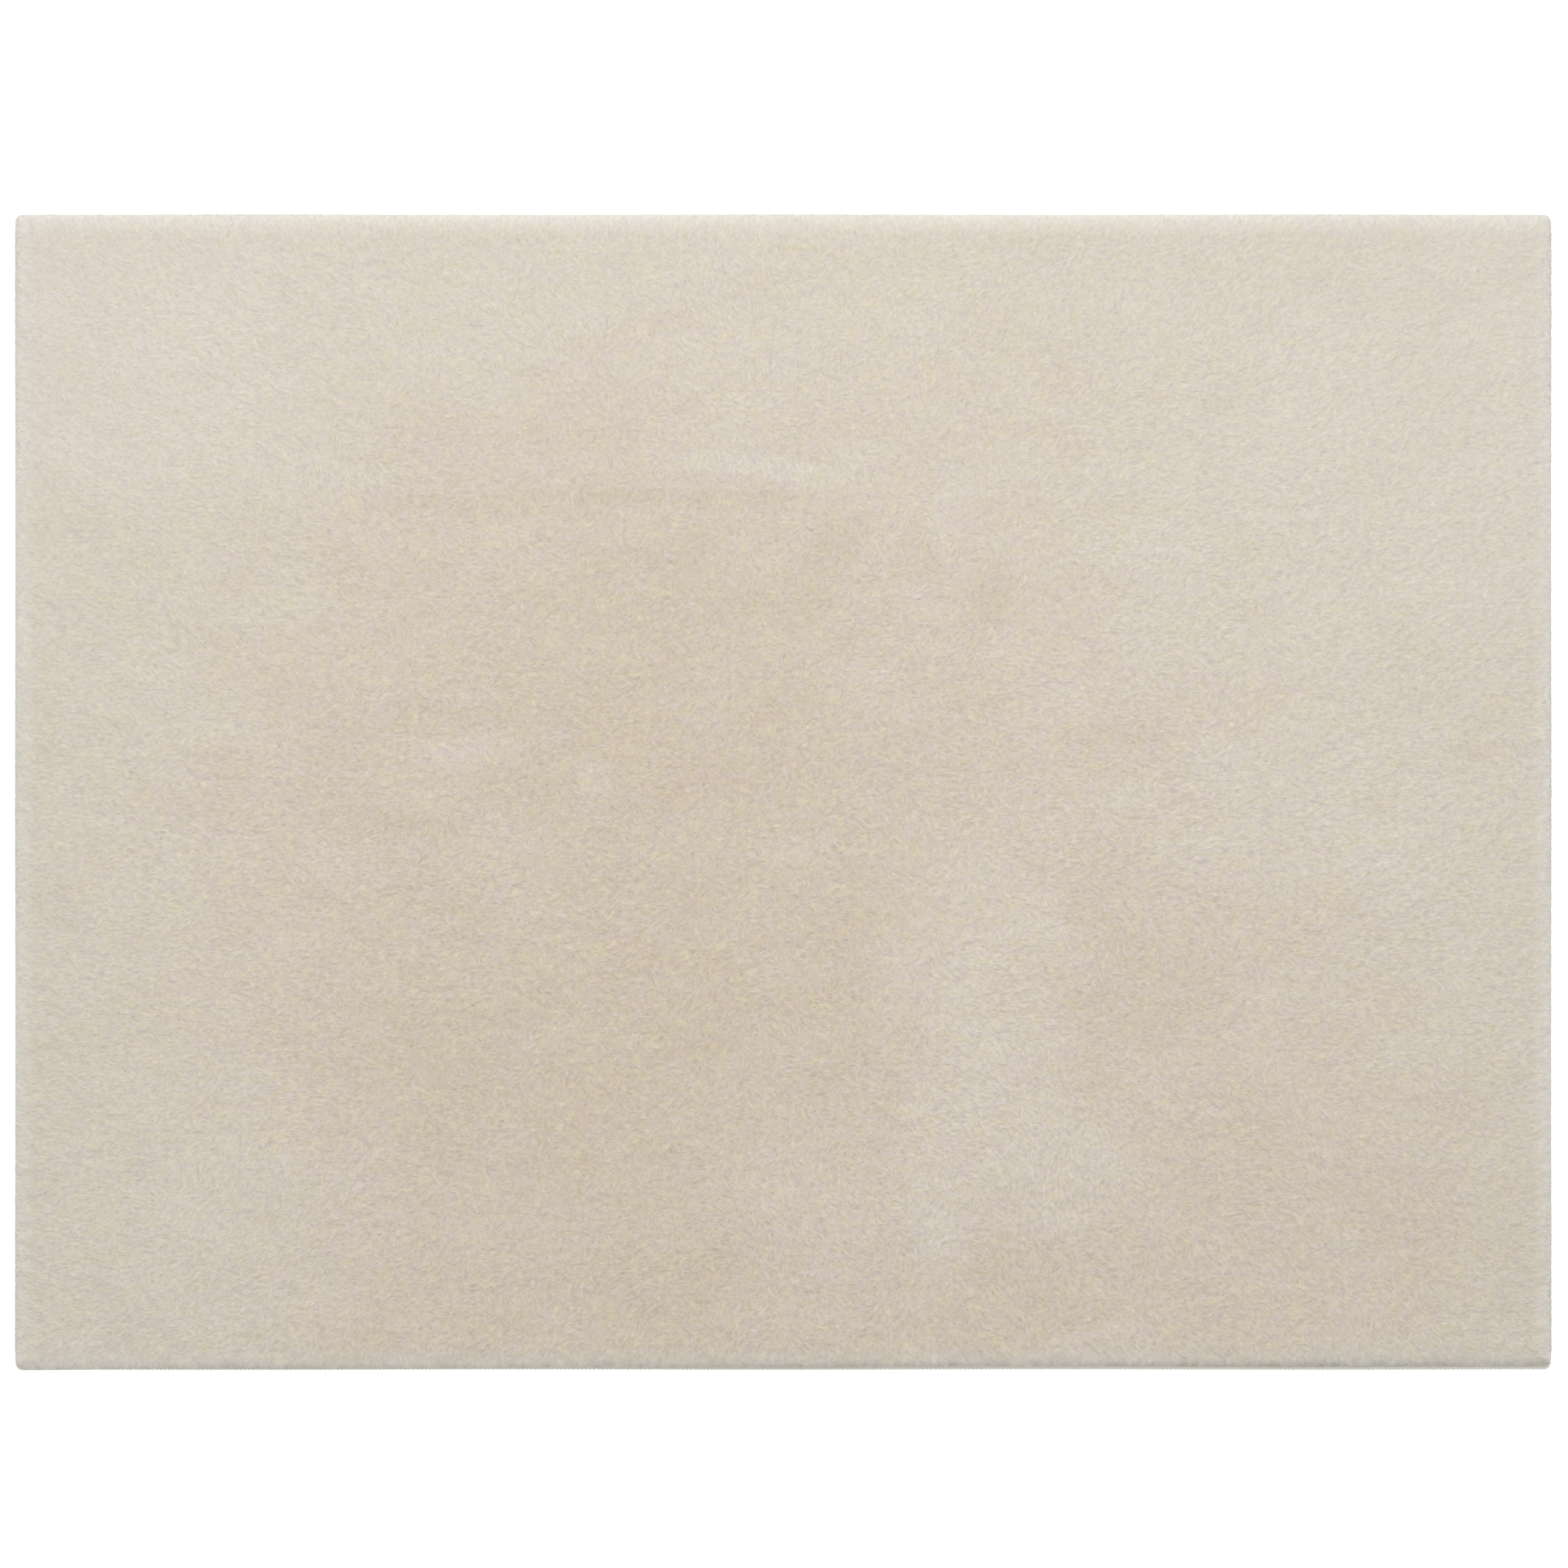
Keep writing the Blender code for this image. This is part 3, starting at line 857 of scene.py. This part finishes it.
# Loose strands over the whole field, in staggered rows: low closed spindles, half sunk in the
# bed, that lie along its lean. Those of one lock draw together.
STRAND_PITCH = 0.0053
STRAND_SHIFT = 0.45
STRAND_REACH = 0.0090
STRAND_HALF_WIDTH = 0.0025
STRAND_RIDGE = 0.00045
STRAND_BACK = 0.38
STRAND_ROOT = 0.0007
STRAND_LIFT = (-0.0009, -0.0004)
STRAND_LEAST = 0.0005
STRAND_STRAY = (0.45, 0.30)
REACH_SPREAD = (0.7, 1.15)
WIDTH_SPREAD = (0.8, 1.3)
RIDGE_SPREAD = (0.7, 1.3)
TIP_INSET = 0.0009
STRAND_TONE = 0.25
# Painted light and shade along a strand: how much paler its ridge, wings and tip are than the
# strand, the sunk wings darker
TIP_LIGHT_AND_SHADE = (0.1, -0.2, -0.2, 0.3)
LOCK_PITCH = 0.0090
LOCK_SHIFT = 0.42
LOCK_GATHER = 0.25
SURFACE_SHADING = 2.2
FIELD_RIM = 0.006
RIM_CORNER = 0.018
CORNER_RIM = 0.0030


def chance(i, j, seed):
    """A seeded number from -1 to 1 for each lattice place."""
    table = np.random.default_rng(seed).uniform(-1, 1, (LATTICE, LATTICE))
    return table[i % LATTICE, j % LATTICE]


def nearest_lock(x, y):
    """The lock that a strand belongs to: the nearest point of a lattice whose points are
    shifted about. It is one of the nine around the strand's own place."""
    step = np.arange(9)[:, None]
    i = np.floor(x / LOCK_PITCH).astype(int) + step // 3 - 1
    j = np.floor(y / LOCK_PITCH).astype(int) + step % 3 - 1
    px = (i + 0.5 + LOCK_SHIFT * chance(i, j, 51)) * LOCK_PITCH
    py = (j + 0.5 + LOCK_SHIFT * chance(i, j, 52)) * LOCK_PITCH
    nearest = np.argmin((x - px) ** 2 + (y - py) ** 2, axis=0), np.arange(len(x))
    return px[nearest], py[nearest]


def strand_piece(name, ridges, near_wings, far_wings, tips, surface, attributes):
    """Closed low spindles as one piece: a ridge, two wings at the root and a tip. Wings and tip
    lie inside the bed and the ridge stands out of it, so that only the back of each strand
    shows, lit between the surface direction and its own slope. A ridge that would stand less
    than the least height over its own foot is raised to it."""
    count = len(tips)
    below = between((near_wings + far_wings) / 2, tips, STRAND_BACK)
    short = np.maximum(STRAND_LEAST - np.sum((ridges - below) * surface, axis=1), 0)
    ridges = ridges + short[:, None] * surface
    side = unit(far_wings - near_wings)
    ahead = unit(2 * tips - near_wings - far_wings)
    points = np.stack([ridges, near_wings, far_wings, tips], axis=1).reshape(-1, 3)
    faces = np.array([[0, 1, 2], [1, 0, 3], [2, 1, 3], [0, 2, 3]])
    faces = np.arange(0, 4 * count, 4)[:, None, None] + faces
    mesh = make_mesh(name, points, faces.reshape(-1, 3))
    lit, down = SURFACE_SHADING * surface, -surface
    near, far, back = unit(lit - side), unit(lit + side), unit(lit - ahead)
    shading = [surface, back, back, near, surface, surface, down, down, down, surface, far, surface]
    mesh.normals_split_custom_set(np.stack(shading, axis=1).reshape(-1, 3).astype(np.float32))
    attributes = {label: np.repeat(values, 4) for label, values in attributes.items()}
    # Painted highlight on each strand's ridge and tip, painted shade on its sunk wings
    attributes["nap"] += np.tile(TIP_LIGHT_AND_SHADE, count)
    return plush_piece(mesh, points, attributes)


def in_corner(x, y):
    """Whether a place is in one of the four corner squares."""
    return (np.abs(x) > half_length - RIM_CORNER) & (np.abs(y) > half_width - RIM_CORNER)


def field_places():
    """Staggered rows over the rug: every other row is set over by half a pitch, then all
    places are shifted at random by a share of the pitch. Those at the rim are left out."""
    rng = np.random.default_rng(31)
    rise = STRAND_PITCH * math.sqrt(0.75)
    columns, rows = int(2 * half_length / STRAND_PITCH), int(2 * half_width / rise)
    x, y = np.meshgrid(np.arange(columns) * STRAND_PITCH, np.arange(rows) * rise)
    x = x + (np.arange(rows)[:, None] % 2) * STRAND_PITCH / 2
    x, y = x.ravel() - x.max() / 2, y.ravel() - y.max() / 2
    x = x + rng.uniform(-STRAND_SHIFT, STRAND_SHIFT, len(x)) * STRAND_PITCH
    y = y + rng.uniform(-STRAND_SHIFT, STRAND_SHIFT, len(y)) * STRAND_PITCH
    corner = in_corner(x, y)
    keep = inside_rim(x, y)[0] > np.where(corner, CORNER_RIM, FIELD_RIM)
    return x[keep], y[keep]


def build_field():
    """Field strands: the tip lies a reach away along the lean, with a stray of each strand,
    and drawn a little to its lock. Tip and wings are sunk under the pile's surface, and the
    ridge stands out of it a share of the way to the tip. Places have rows X and Y."""
    here = np.array(field_places())
    rng = np.random.default_rng(32)
    count = here.shape[1]
    lean = np.array(lean_field(*here))
    lean += [rng.normal(0, stray, count) for stray in STRAND_STRAY]
    length = np.hypot(*lean) + 1e-9
    reach = STRAND_REACH * rng.uniform(*REACH_SPREAD, count)
    there = here + lean / length * reach + LOCK_GATHER * (np.array(nearest_lock(*here)) - here)
    gap, *out = inside_rim(*there)
    there = there - np.maximum(TIP_INSET - gap, 0) * np.array(out)
    _, surface, relief = pile_surface(*here)
    tips, tip_surface, _ = pile_surface(*there)
    tips = tips + tip_surface * rng.uniform(*STRAND_LIFT, (count, 1))
    widths = np.minimum(STRAND_HALF_WIDTH * rng.uniform(*WIDTH_SPREAD, count), inside_rim(*here)[0])
    side = widths * lean[::-1] / length * [[1], [-1]]
    wings = []
    for place in (here - side, here + side):
        points, way_out, _ = pile_surface(*place)
        wings.append(points - STRAND_ROOT * way_out)
    ridges, back, _ = pile_surface(*(here + STRAND_BACK * (there - here)))
    ridges = ridges + back * (STRAND_RIDGE * rng.uniform(*RIDGE_SPREAD, (count, 1)))
    attributes = pile_attributes(*here, relief)
    attributes["nap"] += grain(*here) * rng.normal(0, STRAND_TONE, count)
    pieces = []
    for number, half in enumerate((here[0] < 0, here[0] >= 0), start=1):
        chosen = {label: values[half] for label, values in attributes.items()}
        parts = (part[half] for part in (ridges, *wings, tips, surface))
        pieces.append(strand_piece(f"field_strands_{number}", *parts, chosen))
    return pieces


field_pieces = build_field()

# Rim strands: the outermost pile, which arches over the sewn edge and hangs down it.
RIM_DEPTH = 0.016
RIM_TUCKED = ((0.0002, 0.0064), (0.0006, 0.0036))
RIM_STRANDS = 26000
RIM_SPAN = (0.13, 0.22)
RIM_RIDGE = 0.00060
RIM_HALF_WIDTH = 0.0013
RIM_LIFT = (-0.0002, 0.0002)
RIM_LOWEST, RIM_CROWDING = 0.86, 0.62
RIM_WIDTH_SPREAD = (0.75, 1.2)
RIM_RIDGE_SPREAD = (0.4, 1.3)
RIM_SHADE_SPREAD = (0.5, 1.25)
# Below this level the strands take half the shade
RIM_UNDER = 0.6
RIM_STRAY = 0.0018
RIM_TONE = 0.2
CROWN_NOMINAL = 0.0205
PROFILE_STATIONS = 16
PROFILE_STEP = 0.06


def rim_profile():
    """Gap and height down the rim for a crown of nominal height: places that close up outwards
    with the square of the way there, then the tucked foot. Also the length along it."""
    gaps = RIM_DEPTH * np.linspace(1, 0.1, PROFILE_STATIONS) ** 2
    heights = RIM_HEIGHT + (CROWN_NOMINAL - RIM_HEIGHT) * edge_fall(gaps)
    foot = np.array(RIM_TUCKED).T
    gaps, heights = np.append(gaps, foot[0]), np.append(heights, foot[1])
    return gaps, heights, np.insert(np.cumsum(np.hypot(np.diff(gaps), np.diff(heights))), 0, 0)


def rim_points(edge, out, level):
    """Points on the rim at a share of the way down its profile and the directions out of it.

    The crown's own swelling is added in the share of the edge fall at each gap.
    """
    gaps, heights, along = rim_profile()
    place = np.clip(level, 0, 1) * along[-1]
    gap, up = np.interp(place, along, gaps), np.interp(place, along, heights)
    step = along[-1] * PROFILE_STEP
    d_gap = np.interp(place + step, along, gaps) - np.interp(place - step, along, gaps)
    d_up = np.interp(place + step, along, heights) - np.interp(place - step, along, heights)
    length = np.hypot(d_gap, d_up)
    flat = edge - out * gap[:, None]
    x, y = flat[:, 0], draw_back(flat[:, 0], flat[:, 1])
    inside = np.where(up > RIM_HEIGHT, gap, 0.0)
    swell = (crown_height(x, y) - CROWN_NOMINAL) * edge_fall(inside)
    surface = np.column_stack([out * (-d_up / length)[:, None], -d_gap / length])
    lift, relief = pile_relief(x, y, gap, 0)
    return np.column_stack([x, y, up + swell]) + surface * lift[:, None], surface, relief


def build_rim():
    """Strands strewn over the rim's profile, more of them outwards, each with its root under
    the surface and its tip further down it with a stray sideways. The corner squares, where
    they would all meet, have field strands instead."""
    rng = np.random.default_rng(41)
    count = RIM_STRANDS
    share = (np.arange(count) + rng.uniform(-0.5, 0.5, count)) / count
    level = RIM_LOWEST * rng.uniform(0, 1, count) ** RIM_CROWDING
    edge, out = sewn_edge(share, 0.0)
    straight = ~in_corner(edge[:, 0], edge[:, 1])
    level, edge, out = level[straight], edge[straight], out[straight]
    count = len(level)
    along = np.column_stack([-out[:, 1], out[:, 0], np.zeros(count)])
    root, surface, relief = rim_points(edge, out, level)
    span = rng.uniform(*RIM_SPAN, count)
    ridge, back, _ = rim_points(edge, out, level + STRAND_BACK * span)
    tip, tip_surface, _ = rim_points(edge, out, level + span)
    stray = along * rng.normal(0, RIM_STRAY, (count, 1))
    root = root - surface * STRAND_ROOT
    heights = RIM_RIDGE * rng.uniform(*RIM_RIDGE_SPREAD, (count, 1))
    ridge = ridge + back * heights + STRAND_BACK * stray
    tip = tip + tip_surface * rng.uniform(*RIM_LIFT, (count, 1)) + stray
    widths = RIM_HALF_WIDTH * rng.uniform(*RIM_WIDTH_SPREAD, count)
    side = unit(np.cross(tip - root, surface)) * widths[:, None]
    attributes = pile_attributes(root[:, 0], root[:, 1], relief)
    attributes["nap"] += grain(root[:, 0], root[:, 1]) * rng.normal(0, RIM_TONE, count)
    under = np.where(level > RIM_UNDER, 0.5, 1)
    attributes["shade"] *= rng.uniform(*RIM_SHADE_SPREAD, count) * under
    ends = (ridge, root - side, root + side, tip)
    return strand_piece("rim_strands", *ends, surface, attributes)


rim_strands = build_rim()


# ------------------------------------------------------------------------------ edge binding
# The cut edge is overlocked: a roll of off-white thread bound over it by slanting stitches, one
# every 4.4 mm, whose loops lock into small knots along the outer edge.

BINDING_NODE = "edge_binding"
STITCH_PITCH = 0.0044
THREAD_RADIUS = 0.00042
THREAD_SIDES = 4
THREAD_STEPS = 5
THREAD_SLANT = 0.0013
THREAD_ENDS = (0.04, 0.94)
THREAD_PROUD = 0.2
ROLL_SHRINK = 0.00035
ROLL_WIDTH = 0.0048
ROLL_SECTIONS = 9
KNOT_SWELL = 0.55
KNOT_SPAN = 0.16
ROLL_POWERS = (0.7, 0.8)
THREAD_COLOUR = (0.86, 0.84, 0.775)
THREAD_SHADE = (0.76, 0.745, 0.69)

roll_low, roll_high = (np.array(corner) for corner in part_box(BINDING_NODE))
roll_height = roll_high[2] - roll_low[2]
stitch_count = int(round(2 * (2 * half_length + 2 * half_width) / STITCH_PITCH))


def thread_material():
    """Twisted sewing thread: fine slanting bands of light and shade, matt to satin."""
    material, tree, shader, place = new_material(
        "binding_thread", roughness=0.7, sheen=0.1, specular=0.3
    )
    turned = add_node(tree, "Mapping", Vector=place, Rotation=(0.5, 0.4, 0.6)).outputs[0]
    twist = add_node(tree, "TexWave", Vector=turned, Scale=420.0, Distortion=1.5)
    fuzz = add_group(tree, fibre_fuzz, Vector=place, Scale=1800.0)
    relief = combine(tree, "ADD", twist.outputs["Fac"], combine(tree, "MULTIPLY", fuzz, 0.3))
    colour = mix(tree, relief, THREAD_SHADE, THREAD_COLOUR)
    dress(tree, shader, colour, relief, strength=0.4, distance=0.0002)
    return material


binding_thread = thread_material()


def roll_outline(share, grow):
    """A point of the roll's section: across from its outer face inwards, and up from the floor.

    share runs from 0 at the inner top, over the outer face at a half, to 1 at the inner foot.
    The section is a rounded D: half a superellipse of the roll's height and width.
    """
    angle, half = math.pi * (share - 0.5), roll_height / 2
    across = ROLL_WIDTH * (1 - np.cos(angle) ** ROLL_POWERS[0]) - grow * np.cos(angle)
    rise = np.sign(np.sin(angle)) * np.abs(np.sin(angle)) ** ROLL_POWERS[1]
    return across, half - rise * (half + grow)


def roll_mesh():
    """The roll's section carried round the sewn edge: edge point less its outward direction
    times across, at the height up, and closed along its inner side."""
    columns = stitch_count
    place, out = sewn_edge(np.arange(columns) / columns, 0.0)
    rings = []
    for share in np.linspace(0, 1, ROLL_SECTIONS):
        across, up = roll_outline(share, -ROLL_SHRINK)
        rings.append(np.column_stack([place - out * across, np.full(columns, up)]))
    points = np.concatenate(rings)
    quads = grid_quads(ROLL_SECTIONS, columns, around=True)
    n = np.arange(columns)
    after = (n + 1) % columns
    last = (ROLL_SECTIONS - 1) * columns
    back = np.stack([n, last + n, last + after, after], axis=-1)
    return make_mesh("binding_roll", points, quads[:, ::-1], back[:, ::-1])


def thread_mesh():
    """One bound stitch a pitch: a tube over the roll, from inner top round to inner foot.

    Tube point = point of the section a little outside the roll, plus the radius times the
    cosine of each even turn along the section's normal and the sine along the edge. The thread
    slants along the edge with its way over the roll, and swells at the outer edge where the
    loops lock.
    """
    share = np.linspace(*THREAD_ENDS, THREAD_STEPS + 1)
    across, up = roll_outline(share, THREAD_RADIUS * THREAD_PROUD)
    radius = THREAD_RADIUS * (1 + KNOT_SWELL * np.exp(-(((share - 0.5) / KNOT_SPAN) ** 2)))
    slant = (share - 0.5) * THREAD_SLANT / STITCH_PITCH * 2
    centres = (np.arange(stitch_count)[:, None] + slant) / stitch_count
    place, out = sewn_edge(centres, 0.0)
    level = np.zeros((*centres.shape, 1))
    axis = np.concatenate([place - out * across[:, None], level + up[:, None]], axis=-1)
    d_across, d_up = np.gradient(across), np.gradient(up)
    length = np.hypot(d_across, d_up)
    outwards, upwards = (d_up / -length)[:, None], (d_across / -length)[:, None]
    normal = np.concatenate([out * outwards, level + upwards], axis=-1)
    along = np.concatenate([-out[..., 1:], out[..., :1], level], axis=-1)
    turn = (np.arange(THREAD_SIDES) + 0.5) * 2 * math.pi / THREAD_SIDES
    cosines, sines = np.cos(turn)[:, None], np.sin(turn)[:, None]
    ring = cosines * normal[:, :, None] + sines * along[:, :, None]
    points = axis[:, :, None] + radius[:, None, None] * ring
    points[..., 2] = np.clip(points[..., 2], 0.0, None)
    one = (THREAD_STEPS + 1) * THREAD_SIDES
    sides = np.arange(THREAD_SIDES)
    caps = np.stack([sides[::-1], sides + THREAD_STEPS * THREAD_SIDES])
    faces = np.concatenate([grid_quads(THREAD_STEPS + 1, THREAD_SIDES, around=True), caps])
    faces = np.arange(stitch_count)[:, None, None] * one + faces
    return make_mesh("overlock_stitches", points.reshape(-1, 3), faces.reshape(-1, 4))


binding_roll = make_piece("binding_roll", roll_mesh(), binding_thread)
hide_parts(BINDING_NODE)
overlock_stitches = make_piece("overlock_stitches", thread_mesh(), binding_thread)


# ------------------------------------------------------------------------------ photo table
# Plain white floor, soft light from the far side and above, and a camera straight overhead.

FLOOR_REACH = 5.0
# Distances between which the glow grows, and its levels there
FLOOR_GLOW = (1.5, 4.0, 1.0, 1.5)
FLOOR_LIGHT = 0.40
FLOOR_DROP = 0.0006
CAMERA_PLACE = (0.0008, 0.0088, 8.0)
FRAME_WIDTH = 1.6350
LENS = 176.0
SURROUNDINGS = 0.40


def floor_material():
    """White paper with the faintest grain. Its glow grows with the distance from the middle,
    where the softboxes no longer reach."""
    material, tree, shader, place = new_material(
        "white_floor", roughness=0.9, sheen=0.0, specular=0.1
    )
    distance = tree.nodes.new("ShaderNodeVectorMath")
    distance.operation = "LENGTH"
    feed(tree, distance, {0: place})
    reach = dict(zip(("From_Min", "From_Max", "To_Min", "To_Max"), FLOOR_GLOW))
    glow = add_node(tree, "MapRange", Value=distance.outputs["Value"], **reach)
    noise = add_node(tree, "TexNoise", Vector=place, Scale=3.0)
    colour = mix(tree, noise.outputs[0], (0.97, 0.97, 0.97), (0.98, 0.98, 0.98))
    feed(tree, shader, {"Base Color": colour, "Emission Color": glow.outputs[0]})
    shader.inputs["Emission Strength"].default_value = FLOOR_LIGHT
    return material


corner = np.array([(-1, -1), (1, -1), (1, 1), (-1, 1)]) * FLOOR_REACH
floor_points = np.column_stack([corner, np.full(4, -FLOOR_DROP)])
floor_mesh = make_mesh("floor", floor_points, np.arange(4)[None])
floor_mesh.materials.append(floor_material())
floor = add_object("floor", floor_mesh)
floor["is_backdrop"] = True

world = bpy.data.worlds.new("studio")
bpy.context.scene.world = world
world.use_nodes = True
background = world.node_tree.nodes["Background"]
background.inputs["Color"].default_value = (1.0, 1.0, 1.0, 1.0)
sky = world.node_tree
seen = add_node(sky, "LightPath").outputs["Is Camera Ray"]
glow = combine(sky, "ADD", combine(sky, "MULTIPLY", seen, 1.0 - SURROUNDINGS), SURROUNDINGS)
feed(sky, background, {"Strength": glow})


def add_softbox(name, size, height, back, energy):
    """A rectangular softbox over the rug, set back towards +Y and turned to face its middle."""
    light = bpy.data.lights.new(name, "AREA")
    light.shape = "RECTANGLE"
    light.size, light.size_y = size
    light.energy = energy
    box = add_object(name, light)
    box.visible_camera = False
    box.location = (0.0, back, height)
    box.rotation_euler = (-math.atan2(back, height), 0.0, 0.0)


add_softbox("overhead", size=(3.0, 2.4), height=3.2, back=0.36, energy=78.5)
add_softbox("far_side", size=(3.0, 1.0), height=1.6, back=2.4, energy=12.0)

camera_data = bpy.data.cameras.new("camera")
camera_data.lens = LENS
camera_data.sensor_width = FRAME_WIDTH / CAMERA_PLACE[2] * LENS
camera = add_object("camera", camera_data)
camera.location = CAMERA_PLACE
bpy.context.scene.camera = camera
bpy.context.scene.view_settings.view_transform = "Standard"
